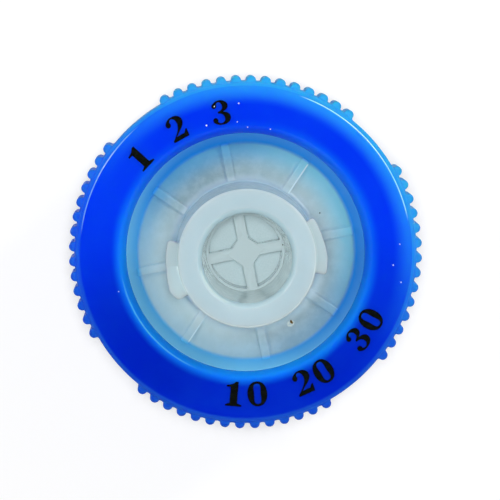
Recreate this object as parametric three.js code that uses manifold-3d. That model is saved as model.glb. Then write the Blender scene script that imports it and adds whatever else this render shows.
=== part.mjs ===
// Syringe filter for small samples: a 13 mm membrane clamped between two clear housings,
// held together by a blue grip ring moulded over their rims.
// Millimetres. +Z runs up the flow axis towards the inlet; the origin is the middle of the
// outlet tip, so the filter stands on its nozzle. Two of the radial ribs lie on the X axis.
import * as THREE from "three";
import { mergeVertices } from "three/addons/utils/BufferGeometryUtils.js";
import Module from "manifold-3d";

// ---------------------------------------------------------------- driving dimensions
// luer fittings
const LUER_TAPER = 0.06;              // change of diameter for each unit of length
const NOZZLE_TIP_DIAMETER = 3.95;
const NOZZLE_REACH = 8.0;             // nozzle below the grip ring
const NOZZLE_TIP_CHAMFER = 0.12;
const NOZZLE_ROOT_FILLET = 0.5;
const LUMEN_DIAMETER = 2.1;
const SOCKET_MOUTH_DIAMETER = 4.3;
const SOCKET_FOOT_RISE = 1.2;         // socket's foot above the inlet floor
const SOCKET_MOUTH_CHAMFER = 0.24;

// inlet hub and its two thread lugs
const HUB_DIAMETER = 6.65;
const HUB_RISE = 7.5;                 // hub above the grip ring
const HUB_DRAFT = 0.012;              // growth of radius for each unit of height
const HUB_TOP_CHAMFER = 0.12;
const HUB_ROOT_FILLET = 0.3;
const LUG_HEIGHT = 0.59;              // how far each lug stands out of the hub
const LUG_LEAD = 5.0;                 // rise in one turn
const LUG_ARC = THREE.MathUtils.degToRad(47);
const LUG_TURN = THREE.MathUtils.degToRad(-1.5);    // first lug's middle from +X
const LUG_TOP_DROP = 0.12;            // from the hub's top face to the lug's upper end
const LUG_ROOT_WIDTH = 1.15;
const LUG_CREST_WIDTH = 0.4;
const LUG_SINK = 0.1;                 // how far a lug's faded ends lie inside the hub wall
const LUG_LOW_RAMP = 0.04;            // share of the arc over which the lower end rises
const LUG_HIGH_RAMP = 0.25;           // share of the arc over which the upper end fades

// flow spreader at the foot of the socket
const SPREADER_PORT_STEP = 0.11;      // ledge between the socket's foot and the port
const SPREADER_ARM_WIDTH = 0.55;
const SPREADER_PLATE_SIDE = 1.3;
const SPREADER_THICKNESS = 1.0;

// filter stack, from the underside up
const LOWER_DISH_DEPTH = 1.3;         // grip ring's lower face to the outlet floor
const FLOOR_THICKNESS = 0.8;
const DRAIN_DEPTH = 0.3;
const MEMBRANE_THICKNESS = 0.2;
const CHAMBER_HEIGHT = 0.3;
const UPPER_DISH_DEPTH = 1.7;         // inlet floor to the grip ring's upper face

// radial sizes, from the outside in
const GRIP_DIAMETER = 17.3;           // over the tips of the grip bumps
const BUMP_HEIGHT = 0.33;
const BUMP_WIDTH = 0.42;              // each grip bump is a half-round rib of this width
const GRIP_WALL = 1.12;               // grip ring outside the housing flanges
const FLANGE_STEP = 0.65;             // flange outside the rim wall and the membrane seat
const RIM_WALL = 0.74;                // rim wall at its free edge
const DISH_DRAFT = 0.46;              // how much the dish closes in from rim edge to floor
const FLANGE_THICKNESS = 1.0;
const SEAT_CLEARANCE = 0.05;          // around the membrane's edge
const CHAMBER_INSET = 0.2;            // chamber and drain edge inside the dish floor's edge

// radial ribs
const RIB_COUNT = 8;
const RIB_WIDTH = 0.42;
const RIB_RISE = 0.15;                // low ribs on the outer faces of both floors
const DRAIN_RIB_WIDTH = 0.45;
const DRAIN_RIB_START = 0.5;          // from the lumen's edge to each drain rib
const RIB_BITE = 0.1;                 // how far a rib runs into what it joins

// grip ring
const LIP_THICKNESS = 0.6;            // over and under the rim walls
const LIP_ROUND = 0.3;
const SHOULDER_DROP = 0.35;
const SHOULDER_INSET = 0.25;          // top face's edge inside the smooth outer wall
const BUMP_GROUPS = 4;
const BUMPS_IN_GROUP = 14;
const BUMP_PITCH = THREE.MathUtils.degToRad(5);
const GRIP_TURN = THREE.MathUtils.degToRad(74.5);   // first bump group's middle from +X
const RING_CLEARANCE = 0.05;          // radial, ring to housings

const ROUND_SEGMENTS = 72;
const ARC_SEGMENTS = 4;
const BUMP_SEGMENTS = 2;
const LUG_SEGMENTS = 20;

// ---------------------------------------------------------------- stations up the axis
const gripBottom = NOZZLE_REACH;
const outletFloor = gripBottom + LOWER_DISH_DEPTH;
const drainFloor = outletFloor + FLOOR_THICKNESS;
const membraneBottom = drainFloor + DRAIN_DEPTH;
const membraneTop = membraneBottom + MEMBRANE_THICKNESS;
const chamberCeiling = membraneTop + CHAMBER_HEIGHT;
const inletFloor = chamberCeiling + FLOOR_THICKNESS;
const gripTop = inletFloor + UPPER_DISH_DEPTH;
const hubTop = gripTop + HUB_RISE;
const socketFoot = inletFloor + SOCKET_FOOT_RISE;
const upperRimEdge = gripTop - LIP_THICKNESS;
const lowerRimEdge = gripBottom + LIP_THICKNESS;

// ---------------------------------------------------------------- radii
const bumpTipRadius = GRIP_DIAMETER / 2;
const gripWallRadius = bumpTipRadius - BUMP_HEIGHT;
const flangeRadius = gripWallRadius - GRIP_WALL;
const rimOuterRadius = flangeRadius - FLANGE_STEP;
const rimEdgeRadius = rimOuterRadius - RIM_WALL;
const dishRadius = rimEdgeRadius - DISH_DRAFT;
const membraneRadius = rimOuterRadius - SEAT_CLEARANCE;
const chamberRadius = dishRadius - CHAMBER_INSET;
const hubRadius = HUB_DIAMETER / 2;
const hubRootRadius = hubRadius + HUB_DRAFT * (hubTop - inletFloor);
const socketMouthRadius = SOCKET_MOUTH_DIAMETER / 2;
const socketFootRadius = socketMouthRadius - (hubTop - socketFoot) * LUER_TAPER / 2;
const portRadius = socketFootRadius - SPREADER_PORT_STEP;
const lumenRadius = LUMEN_DIAMETER / 2;
const nozzleTipRadius = NOZZLE_TIP_DIAMETER / 2;

function nozzleRadius(height) {
  return nozzleTipRadius + height * LUER_TAPER / 2;
}

// ---------------------------------------------------------------- solids and meshes
const ORIGIN = new THREE.Vector2(0, 0);
const wasm = await Module();
wasm.setup();

function solidFrom(geometry) {
  geometry.deleteAttribute("normal");
  geometry.deleteAttribute("uv");
  const merged = mergeVertices(geometry);
  return new wasm.Manifold(new wasm.Mesh({
    numProp: 3,
    vertProperties: merged.attributes.position.array,
    triVerts: Uint32Array.from(merged.index.array),
  }));
}

function meshFrom(name, solid, material) {
  const mesh = solid.getMesh();
  const geometry = new THREE.BufferGeometry();
  geometry.setAttribute("position", new THREE.BufferAttribute(mesh.vertProperties, 3));
  geometry.setIndex(new THREE.BufferAttribute(mesh.triVerts, 1));
  geometry.computeVertexNormals();
  const part = new THREE.Mesh(geometry, material);
  part.name = name;
  return part;
}

// A profile of [radius, height] points, turned about Z; it runs up the outside.
function turned(profile) {
  const points = profile.map(([radius, height]) => new THREE.Vector2(radius, height));
  const geometry = new THREE.LatheGeometry(points, ROUND_SEGMENTS);
  geometry.rotateX(Math.PI / 2);
  return solidFrom(geometry);
}

// Points of an arc about [centreRadius, centreHeight] in the profile plane.
function profileArc(centreRadius, centreHeight, radius, startDegrees, endDegrees) {
  const points = [];
  for (let step = 0; step <= ARC_SEGMENTS; step += 1) {
    const degrees = startDegrees + (endDegrees - startDegrees) * step / ARC_SEGMENTS;
    const angle = THREE.MathUtils.degToRad(degrees);
    points.push([
      centreRadius + radius * Math.cos(angle),
      centreHeight + radius * Math.sin(angle),
    ]);
  }
  return points;
}

// A bar that lies along +X from one radius to another, turned to its angle about Z.
function radialBar(fromRadius, toRadius, width, bottom, top, angle) {
  const bar = new THREE.BoxGeometry(toRadius - fromRadius, width, top - bottom);
  bar.translate((fromRadius + toRadius) / 2, 0, (bottom + top) / 2);
  bar.rotateZ(angle);
  return solidFrom(bar);
}

function withRibs(solid, fromRadius, toRadius, width, bottom, top) {
  let ribbed = solid;
  for (let rib = 0; rib < RIB_COUNT; rib += 1) {
    const angle = rib * 2 * Math.PI / RIB_COUNT;
    ribbed = ribbed.add(radialBar(fromRadius, toRadius, width, bottom, top, angle));
  }
  return ribbed;
}

// ---------------------------------------------------------------- inlet housing
// A thread lug: its section is drawn flat, extruded, then wrapped up the hub as a helix.
// Both ends fade into the hub wall, the lower one steeply and the upper one gently.
function threadLug(middleAngle) {
  const rise = LUG_LEAD * LUG_ARC / (2 * Math.PI);
  const innerRadius = (socketMouthRadius + hubRadius) / 2;
  const sunkRadius = hubRadius - LUG_SINK;
  const crestRadius = hubRadius + LUG_HEIGHT;
  const lowMiddle = hubTop - LUG_TOP_DROP - LUG_ROOT_WIDTH / 2 - rise;
  const section = new THREE.Shape();
  section.moveTo(innerRadius, -LUG_ROOT_WIDTH / 2);
  section.lineTo(hubRadius, -LUG_ROOT_WIDTH / 2);
  section.lineTo(crestRadius, -LUG_CREST_WIDTH / 2);
  section.lineTo(crestRadius, LUG_CREST_WIDTH / 2);
  section.lineTo(hubRadius, LUG_ROOT_WIDTH / 2);
  section.lineTo(innerRadius, LUG_ROOT_WIDTH / 2);
  section.closePath();
  const geometry = new THREE.ExtrudeGeometry(section, {
    depth: 1,
    steps: LUG_SEGMENTS,
    bevelEnabled: false,
  });
  const corner = geometry.attributes.position;
  for (let index = 0; index < corner.count; index += 1) {
    const along = 1 - corner.getZ(index);
    const fade = Math.min(1, along / LUG_LOW_RAMP, (1 - along) / LUG_HIGH_RAMP);
    const drawn = corner.getX(index);
    const radius = drawn > sunkRadius ? sunkRadius + (drawn - sunkRadius) * fade : drawn;
    const angle = middleAngle + (along - 0.5) * LUG_ARC;
    const height = lowMiddle + corner.getY(index) + rise * along;
    corner.setXYZ(index, radius * Math.cos(angle), radius * Math.sin(angle), height);
  }
  return solidFrom(geometry);
}

// Four arms and a square plate that turn the inflow aside; the arms meet the plate's corners.
function flowSpreader() {
  const bottom = socketFoot - SPREADER_THICKNESS;
  const plate = new THREE.BoxGeometry(SPREADER_PLATE_SIDE, SPREADER_PLATE_SIDE, SPREADER_THICKNESS);
  plate.rotateZ(Math.PI / 4);
  plate.translate(0, 0, bottom + SPREADER_THICKNESS / 2);
  const reach = portRadius + RIB_BITE;
  const armAlongX = radialBar(-reach, reach, SPREADER_ARM_WIDTH, bottom, socketFoot, 0);
  const armAlongY = radialBar(-reach, reach, SPREADER_ARM_WIDTH, bottom, socketFoot, Math.PI / 2);
  return solidFrom(plate).add(armAlongX).add(armAlongY);
}

function inletHousing() {
  const shell = turned([
    [portRadius, chamberCeiling],
    [chamberRadius, chamberCeiling],
    [chamberRadius, membraneTop],
    [flangeRadius, membraneTop],
    [flangeRadius, membraneTop + FLANGE_THICKNESS],
    [rimOuterRadius, membraneTop + FLANGE_THICKNESS],
    [rimOuterRadius, upperRimEdge],
    [rimEdgeRadius, upperRimEdge],
    [dishRadius, inletFloor],
    ...profileArc(
      hubRootRadius + HUB_ROOT_FILLET, inletFloor + HUB_ROOT_FILLET, HUB_ROOT_FILLET, 270, 180,
    ),
    [hubRadius, hubTop - HUB_TOP_CHAMFER],
    [hubRadius - HUB_TOP_CHAMFER, hubTop],
    [socketMouthRadius + SOCKET_MOUTH_CHAMFER, hubTop],
    [socketMouthRadius, hubTop - SOCKET_MOUTH_CHAMFER],
    [socketFootRadius, socketFoot],
    [portRadius, socketFoot],
    [portRadius, chamberCeiling],
  ]);
  const lugs = threadLug(LUG_TURN).add(threadLug(LUG_TURN + Math.PI));
  const hub = shell.add(lugs).add(flowSpreader());
  const ribStart = hubRootRadius - RIB_BITE;
  const ribTop = inletFloor + RIB_RISE;
  return withRibs(hub, ribStart, rimEdgeRadius, RIB_WIDTH, inletFloor - RIB_BITE, ribTop);
}

// ---------------------------------------------------------------- outlet housing
function outletHousing() {
  const flangeBottom = membraneTop - FLANGE_THICKNESS;
  const rootRadius = nozzleRadius(outletFloor - NOZZLE_ROOT_FILLET);
  const shell = turned([
    [lumenRadius, 0],
    [nozzleTipRadius - NOZZLE_TIP_CHAMFER, 0],
    [nozzleTipRadius, NOZZLE_TIP_CHAMFER],
    ...profileArc(
      rootRadius + NOZZLE_ROOT_FILLET, outletFloor - NOZZLE_ROOT_FILLET, NOZZLE_ROOT_FILLET, 180, 90,
    ),
    [dishRadius, outletFloor],
    [rimEdgeRadius, lowerRimEdge],
    [rimOuterRadius, lowerRimEdge],
    [rimOuterRadius, flangeBottom],
    [flangeRadius, flangeBottom],
    [flangeRadius, membraneTop],
    [rimOuterRadius, membraneTop],
    [rimOuterRadius, membraneBottom],
    [chamberRadius, membraneBottom],
    [chamberRadius, drainFloor],
    [lumenRadius, drainFloor],
    [lumenRadius, 0],
  ]);
  const drainStart = lumenRadius + DRAIN_RIB_START;
  const drainBottom = drainFloor - RIB_BITE;
  const drained = withRibs(
    shell, drainStart, chamberRadius + RIB_BITE, DRAIN_RIB_WIDTH, drainBottom, membraneBottom,
  );
  const braceBottom = outletFloor - RIB_RISE;
  return withRibs(
    drained, nozzleTipRadius, rimEdgeRadius, RIB_WIDTH, braceBottom, outletFloor + RIB_BITE,
  );
}

// ---------------------------------------------------------------- membrane
function membrane() {
  return turned([
    [0, membraneBottom],
    [membraneRadius, membraneBottom],
    [membraneRadius, membraneTop],
    [0, membraneTop],
  ]);
}

// ---------------------------------------------------------------- grip ring
// The ring seen from above: a round wall with groups of half-round bumps standing on it.
function gripOutline() {
  const bumpRadius = BUMP_WIDTH / 2;
  const bumpCentre = bumpTipRadius - bumpRadius;
  const footAngle = Math.asin(bumpRadius / gripWallRadius);
  const groupPitch = 2 * Math.PI / BUMP_GROUPS;
  const groupHalf = (BUMPS_IN_GROUP - 1) / 2 * BUMP_PITCH;
  const firstFoot = GRIP_TURN - groupHalf - footAngle;
  const outline = new THREE.Shape();
  outline.moveTo(gripWallRadius * Math.cos(firstFoot), gripWallRadius * Math.sin(firstFoot));
  for (let group = 0; group < BUMP_GROUPS; group += 1) {
    const groupAngle = GRIP_TURN + group * groupPitch;
    for (let bump = 0; bump < BUMPS_IN_GROUP; bump += 1) {
      const angle = groupAngle - groupHalf + bump * BUMP_PITCH;
      const startFoot = new THREE.Vector2(gripWallRadius, 0).rotateAround(ORIGIN, angle - footAngle);
      const endFoot = new THREE.Vector2(gripWallRadius, 0).rotateAround(ORIGIN, angle + footAngle);
      outline.lineTo(startFoot.x, startFoot.y);
      outline.absarc(
        bumpCentre * Math.cos(angle), bumpCentre * Math.sin(angle), bumpRadius,
        angle - Math.PI / 2, angle + Math.PI / 2, false,
      );
      outline.lineTo(endFoot.x, endFoot.y);
    }
    const gapStart = groupAngle + groupHalf + footAngle;
    const gapEnd = groupAngle + groupPitch - groupHalf - footAngle;
    outline.absarc(0, 0, gripWallRadius, gapStart, gapEnd, false);
  }
  outline.closePath();
  return outline;
}

function gripRing() {
  const height = gripTop - gripBottom;
  const prism = new THREE.ExtrudeGeometry(gripOutline(), {
    depth: height,
    bevelEnabled: false,
    curveSegments: BUMP_SEGMENTS,
  });
  prism.translate(0, 0, gripBottom);
  const faceRadius = gripWallRadius - SHOULDER_INSET;
  const barrel = turned([
    [0, gripBottom],
    [faceRadius, gripBottom],
    [bumpTipRadius, gripBottom + SHOULDER_DROP],
    [bumpTipRadius, gripTop - SHOULDER_DROP],
    [faceRadius, gripTop],
    [0, gripTop],
  ]);
  const lipRadius = rimEdgeRadius + LIP_ROUND;
  const inside = turned([
    [0, gripBottom],
    ...profileArc(lipRadius, gripBottom + LIP_ROUND, LIP_ROUND, 270, 180),
    [rimEdgeRadius, lowerRimEdge],
    [rimOuterRadius + RING_CLEARANCE, lowerRimEdge],
    [rimOuterRadius + RING_CLEARANCE, membraneTop - FLANGE_THICKNESS],
    [flangeRadius + RING_CLEARANCE, membraneTop - FLANGE_THICKNESS],
    [flangeRadius + RING_CLEARANCE, membraneTop + FLANGE_THICKNESS],
    [rimOuterRadius + RING_CLEARANCE, membraneTop + FLANGE_THICKNESS],
    [rimOuterRadius + RING_CLEARANCE, upperRimEdge],
    [rimEdgeRadius, upperRimEdge],
    ...profileArc(lipRadius, gripTop - LIP_ROUND, LIP_ROUND, 180, 90),
    [0, gripTop],
  ]);
  return solidFrom(prism).intersect(barrel).subtract(inside);
}

// ---------------------------------------------------------------- assembly
const naturalPlastic = { color: 0xc6dadc, roughness: 0.35, metalness: 0 };
const filter = new THREE.Group();
filter.add(
  meshFrom("outlet_housing", outletHousing(), new THREE.MeshStandardMaterial(naturalPlastic)),
  meshFrom("membrane", membrane(), new THREE.MeshStandardMaterial({
    color: 0xf1f1ec, roughness: 0.9, metalness: 0,
  })),
  meshFrom("inlet_housing", inletHousing(), new THREE.MeshStandardMaterial(naturalPlastic)),
  meshFrom("grip_ring", gripRing(), new THREE.MeshStandardMaterial({
    color: 0x0a3cdc, roughness: 0.3, metalness: 0,
  })),
);

export default filter;
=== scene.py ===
# %% [markdown]
# # A syringe filter with a blue grip ring
#
# This lesson finishes a small laboratory filter, the kind that is pushed onto a syringe.
# Two halves of cloudy clear plastic hold a white membrane disc between them, and a blue
# ring is moulded round their rims so that fingers can turn it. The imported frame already
# gives every piece its place and size; here each one gets its fine shape and its finish.

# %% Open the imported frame
import math
import random

import bmesh
import bpy
from mathutils import Matrix, Vector


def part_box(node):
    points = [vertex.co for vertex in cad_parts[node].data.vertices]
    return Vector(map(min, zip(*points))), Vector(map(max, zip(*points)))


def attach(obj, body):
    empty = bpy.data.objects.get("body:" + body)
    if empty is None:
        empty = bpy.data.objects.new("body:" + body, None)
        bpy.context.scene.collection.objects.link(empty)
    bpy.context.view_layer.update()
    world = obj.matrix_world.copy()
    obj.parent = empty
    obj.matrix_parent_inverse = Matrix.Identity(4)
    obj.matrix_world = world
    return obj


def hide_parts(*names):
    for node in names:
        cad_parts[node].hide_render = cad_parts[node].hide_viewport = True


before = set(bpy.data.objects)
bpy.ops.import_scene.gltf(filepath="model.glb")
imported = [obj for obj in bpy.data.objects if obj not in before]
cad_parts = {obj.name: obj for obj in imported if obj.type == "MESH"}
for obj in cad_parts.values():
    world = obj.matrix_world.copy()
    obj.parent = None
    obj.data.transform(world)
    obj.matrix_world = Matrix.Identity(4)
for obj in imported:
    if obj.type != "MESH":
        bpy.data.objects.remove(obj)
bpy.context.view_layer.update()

MM = 0.001
scene = bpy.context.scene
print("frame nodes:", ", ".join(sorted(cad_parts)))

# %% [markdown]
# ## The levels of the stack
#
# A moulded filter is a stack: nozzle, outlet floor, membrane, inlet floor, hub. The heights
# of the main faces come from the frame's own boxes, and the few inner steps are wall
# thicknesses measured from them, just as a mould maker would dimension the drawing.

# %% Heights and radii
ring_low, ring_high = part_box("grip_ring")
inlet_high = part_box("inlet_housing")[1]
outlet_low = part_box("outlet_housing")[0]
disc_low, disc_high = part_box("membrane")

HUB_TOP = inlet_high.z
RING_TOP = ring_high.z
RING_FOOT = ring_low.z
CLAMP_FACE = disc_high.z
DISC_FACE = disc_low.z
NOZZLE_TIP = outlet_low.z
FLANGE_RADIUS = inlet_high.x
DISC_RADIUS = disc_high.x

LIP = 0.6 * MM
INLET_FLOOR = RING_TOP - 1.7 * MM
OUTLET_FLOOR = RING_FOOT + 1.3 * MM
CHAMBER_CEILING = CLAMP_FACE + 0.3 * MM
DRAIN_FLOOR = DISC_FACE - 0.3 * MM
SOCKET_FOOT = INLET_FLOOR + 1.2 * MM
UPPER_RIM = RING_TOP - LIP
LOWER_RIM = RING_FOOT + LIP
FLANGE = 1.0 * MM

RIM_OUTER = FLANGE_RADIUS - 0.65 * MM
RIM_EDGE = RIM_OUTER - 0.74 * MM
DISH_RADIUS = RIM_EDGE - 0.46 * MM
CHAMBER_RADIUS = DISH_RADIUS - 0.2 * MM
HUB_RADIUS = 3.325 * MM
HUB_DRAFT = 0.012
HUB_FOOT_RADIUS = HUB_RADIUS + HUB_DRAFT * (HUB_TOP - INLET_FLOOR)
BOND_GAP = 0.02 * MM
print(f"hub top {HUB_TOP / MM:.2f} mm, ring {RING_FOOT / MM:.2f} to {RING_TOP / MM:.2f} mm")
print(f"flange radius {FLANGE_RADIUS / MM:.2f} mm, dish radius {DISH_RADIUS / MM:.2f} mm")

# %% [markdown]
# ## Turning a section into a piece
#
# Every piece of the filter is round, so the mould for it was turned on a lathe. The same is
# done here: half of the section is drawn as a wire of corners, each corner is rounded by a
# vertex bevel, and the wire is spun once round the axis. Each corner is written as radius,
# height and rounding, so the section reads like the drawing. A wide rounding gets more steps
# than a narrow one, so every curve is equally smooth.

# %% Section and spin
ARC_STEP = 0.05 * MM
FEWEST_STEPS = 3
CREASE = 35
AXIS = {"cent": (0, 0, 0), "axis": (0, 0, 1)}


def rounded(mesh, geom, offset, steps, affect="EDGES"):
    bmesh.ops.bevel(
        mesh, geom=geom, offset=offset, offset_type="OFFSET", segments=steps,
        profile=0.5, affect=affect, material=-1,
    )


def rotated(mesh, turn):
    matrix = Matrix.Rotation(turn, 3, "Z")
    bmesh.ops.rotate(mesh, verts=mesh.verts, cent=(0, 0, 0), matrix=matrix)


def draw_section(mesh, corners):
    verts = [mesh.verts.new((radius, 0, height)) for radius, height, rounding in corners]
    for start, end in zip(verts, verts[1:] + verts[:1]):
        mesh.edges.new((start, end))
    for vert, (radius, height, rounding) in zip(verts, corners):
        if rounding:
            steps = max(FEWEST_STEPS, round(rounding / ARC_STEP))
            rounded(mesh, [vert], rounding, steps, "VERTICES")


def turned(corners, steps):
    mesh = bmesh.new()
    draw_section(mesh, corners)
    bmesh.ops.spin(
        mesh, geom=mesh.verts[:] + mesh.edges[:], **AXIS, dvec=(0, 0, 0),
        angle=math.tau, steps=steps, use_merge=True, use_duplicate=False,
    )
    bmesh.ops.recalc_face_normals(mesh, faces=mesh.faces)
    return mesh


def shade(piece, crease):
    """Smooth shading in which flat faces stay flat, and edges past the crease angle crisp."""
    piece.data.shade_smooth()
    piece.data.set_sharp_from_angle(angle=math.radians(crease))
    piece.modifiers.new("flat_faces", "WEIGHTED_NORMAL").keep_sharp = True


def to_object(mesh, name, crease=CREASE):
    data = bpy.data.meshes.new(name)
    mesh.to_mesh(data)
    mesh.free()
    piece = bpy.data.objects.new(name, data)
    scene.collection.objects.link(piece)
    shade(piece, crease)
    return piece


# %% [markdown]
# ## The grip ring
#
# The blue ring wraps over and under both housings. Its outer wall carries four groups of
# fourteen half-round bumps with a smooth stretch between groups. It is spun with sixteen
# steps to each bump pitch; then the steps are gathered round each bump and the wall there
# is pushed outwards, which keeps ring and bumps one closed skin, as the mould makes them.

# %% Grip ring section
RING_WALL = 8.32 * MM
SHOULDER_IN = 0.25 * MM
SHOULDER_DROP = 0.15 * MM
SHOULDER_ROUND = 0.02 * MM
FACE_ROUND = 0.09 * MM
LIP_EDGE = RIM_EDGE + 0.30 * MM
LIP_DROP = 0.4 * MM
LIP_ROUND = 0.15 * MM
LIP_FOOT_ROUND = 0.08 * MM
DOME_START = SHOULDER_DROP + 0.03 * MM
DOME = 0.2 * MM
DOME_ROWS = 4
PITCH_STEPS = 16
PITCH = math.radians(5)


def dome_rows(edge, inward):
    """Rows up the wall, closer together where the ends of the bumps round off."""
    turns = [math.pi / 2 * row / DOME_ROWS for row in range(DOME_ROWS + 1)]
    return [(RING_WALL, edge + inward * DOME * (1 - math.cos(turn)), 0) for turn in turns]


outer_wall = [
    (RING_WALL - SHOULDER_IN, RING_FOOT, FACE_ROUND),
    (RING_WALL, RING_FOOT + SHOULDER_DROP, SHOULDER_ROUND),
    *dome_rows(RING_FOOT + DOME_START, 1),
    *reversed(dome_rows(RING_TOP - DOME_START, -1)),
    (RING_WALL, RING_TOP - SHOULDER_DROP, SHOULDER_ROUND),
    (RING_WALL - SHOULDER_IN, RING_TOP, FACE_ROUND),
]
lip_wall = RIM_EDGE + BOND_GAP
rim_wall = RIM_OUTER + BOND_GAP
flange_wall = FLANGE_RADIUS + BOND_GAP
flange_foot = CLAMP_FACE - FLANGE - BOND_GAP
flange_top = CLAMP_FACE + FLANGE + BOND_GAP
inner_wall = [
    (LIP_EDGE, RING_TOP, LIP_ROUND),
    (lip_wall, RING_TOP - LIP_DROP, LIP_FOOT_ROUND),
    (lip_wall, UPPER_RIM + BOND_GAP, 0),
    (rim_wall, UPPER_RIM + BOND_GAP, 0),
    (rim_wall, flange_top, 0),
    (flange_wall, flange_top, 0),
    (flange_wall, flange_foot, 0),
    (rim_wall, flange_foot, 0),
    (rim_wall, LOWER_RIM - BOND_GAP, 0),
    (lip_wall, LOWER_RIM - BOND_GAP, 0),
    (lip_wall, RING_FOOT + LIP_DROP, LIP_FOOT_ROUND),
    (LIP_EDGE, RING_FOOT, LIP_ROUND),
]
ring_mesh = turned(outer_wall + inner_wall, round(math.tau / PITCH) * PITCH_STEPS)
print(f"ring spun: {len(ring_mesh.faces)} faces")

# %% Bumps on the ring
GROUPS = 4
BUMPS = 14
FIRST_GROUP = math.radians(74.5)
BUMP_PROUD = 8.65 * MM - RING_WALL
BUMP_RADIUS = 0.24 * MM
BUMP_STEPS = 5
HALF_PITCH_STEPS = PITCH_STEPS // 2
FILLET = 0.1 * MM
VALLEY = 0.06 * MM
HAIR = 0.001 * MM
RING_CREASE = 60


def bump_station(steps, valley):
    """Sideways offset and height of the wall, so many steps from a bump's middle."""
    way = math.copysign(1, steps)
    count = abs(steps)
    if count <= BUMP_STEPS:
        turn = math.pi / 2 * count / BUMP_STEPS
        return way * BUMP_RADIUS * math.sin(turn), BUMP_PROUD - BUMP_RADIUS * (1 - math.cos(turn))
    if count < HALF_PITCH_STEPS:
        turn = math.pi / 2 * (count - BUMP_STEPS) / (HALF_PITCH_STEPS - 1 - BUMP_STEPS)
        proud = valley + (FILLET - valley) * (1 - math.sin(turn))
        return way * (BUMP_RADIUS + FILLET * (1 - math.cos(turn))), proud
    return way * RING_WALL * PITCH / 2, valley


def dome_share(height):
    """1 along the wall, falling to 0 like a quarter circle at each end of a bump."""
    inside = min(height - RING_FOOT, RING_TOP - height) - DOME_START
    climb = min(max(inside / DOME, 0), 1)
    return math.sqrt(1 - (1 - climb) ** 2)


def nearest_bump(angle):
    """Steps from the middle of the nearest bump, and the valley's height on that side."""
    group_pitch = math.tau / GROUPS
    into_group = (angle - FIRST_GROUP + group_pitch / 2) % group_pitch - group_pitch / 2
    steps = round((into_group / PITCH + BUMPS / 2) * PITCH_STEPS)
    if not 0 <= steps < BUMPS * PITCH_STEPS:
        return None
    bump, across = divmod(steps, PITCH_STEPS)
    across -= HALF_PITCH_STEPS
    at_group_end = (bump == 0 and across < 0) or (bump == BUMPS - 1 and across > 0)
    return across, 0 if at_group_end else VALLEY


# The spin starts on +X, so it is turned until one of its steps starts a bump pitch.
rotated(ring_mesh, FIRST_GROUP % (PITCH / PITCH_STEPS))
for vert in ring_mesh.verts:
    radius = vert.co.xy.length
    angle = math.atan2(vert.co.y, vert.co.x)
    found = nearest_bump(angle)
    if found is None:
        continue
    steps, valley = found
    aside, proud = bump_station(steps, valley)
    angle += aside / RING_WALL - steps * PITCH / PITCH_STEPS
    if radius > RING_WALL - HAIR:
        radius += proud * dome_share(vert.co.z)
    vert.co.xy = radius * math.cos(angle), radius * math.sin(angle)
grip_ring = to_object(ring_mesh, "grip_ring_moulding", RING_CREASE)
print(f"grip ring reaches {grip_ring.dimensions.x / MM:.2f} mm across")

# %% [markdown]
# ## Fusing what one mould makes
#
# Ribs, thread lugs and the flow spreader are not glued on: they come out of the same mould
# as their housing. Each is drawn as a closed solid that bites a little way into the shell,
# and one exact Boolean union turns them all into a single skin. The union matters in
# see-through plastic, where walls left inside the solid would show as ghosts.

# %% Union and helpers for ribs
SHELL_STEPS = 144
BITE = 0.1 * MM
BLOCK_STEPS = 3
RIB_COUNT = 8


def fused(shell, extras, name):
    """One object from a shell's bmesh and a list of closed bmeshes that bite into it."""
    base = to_object(shell, name)
    base.modifiers.clear()
    added = bmesh.new()
    for extra in extras:
        part = bpy.data.meshes.new("part")
        extra.to_mesh(part)
        added.from_mesh(part)
        bpy.data.meshes.remove(part)
        extra.free()
    tool = to_object(added, "added")
    union = base.modifiers.new("union", "BOOLEAN")
    union.operation = "UNION"
    union.solver = "EXACT"
    union.use_self = True
    union.object = tool
    bpy.context.view_layer.update()
    depsgraph = bpy.context.evaluated_depsgraph_get()
    data = bpy.data.meshes.new_from_object(base.evaluated_get(depsgraph))
    base.modifiers.clear()
    bpy.data.objects.remove(tool)
    base.data = data
    data.name = name
    shade(base, CREASE)
    return base


def block(x_range, y_range, z_range, rounding, turn=0.0):
    """A box with rounded edges, turned about the axis."""
    mesh = bmesh.new()
    bmesh.ops.create_cube(mesh, size=1)
    ranges = (x_range, y_range, z_range)
    bmesh.ops.scale(mesh, verts=mesh.verts, vec=[high - low for low, high in ranges])
    bmesh.ops.translate(mesh, verts=mesh.verts, vec=[(low + high) / 2 for low, high in ranges])
    rounded(mesh, mesh.edges[:], rounding, BLOCK_STEPS)
    rotated(mesh, turn)
    return mesh


def ribs(inner, outer, width, low, high, rounding):
    turns = [math.tau * rib / RIB_COUNT for rib in range(RIB_COUNT)]
    half = width / 2
    return [block((inner, outer), (-half, half), (low, high), rounding, turn) for turn in turns]


# %% [markdown]
# ## The inlet housing
#
# The upper half carries the luer hub, which a syringe screws onto: a tapered socket with two
# short lengths of thread outside. Round it lies a dish, whose floor has eight low ribs that
# keep the thin wall stiff over the membrane. The section is turned as one shell.

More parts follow.
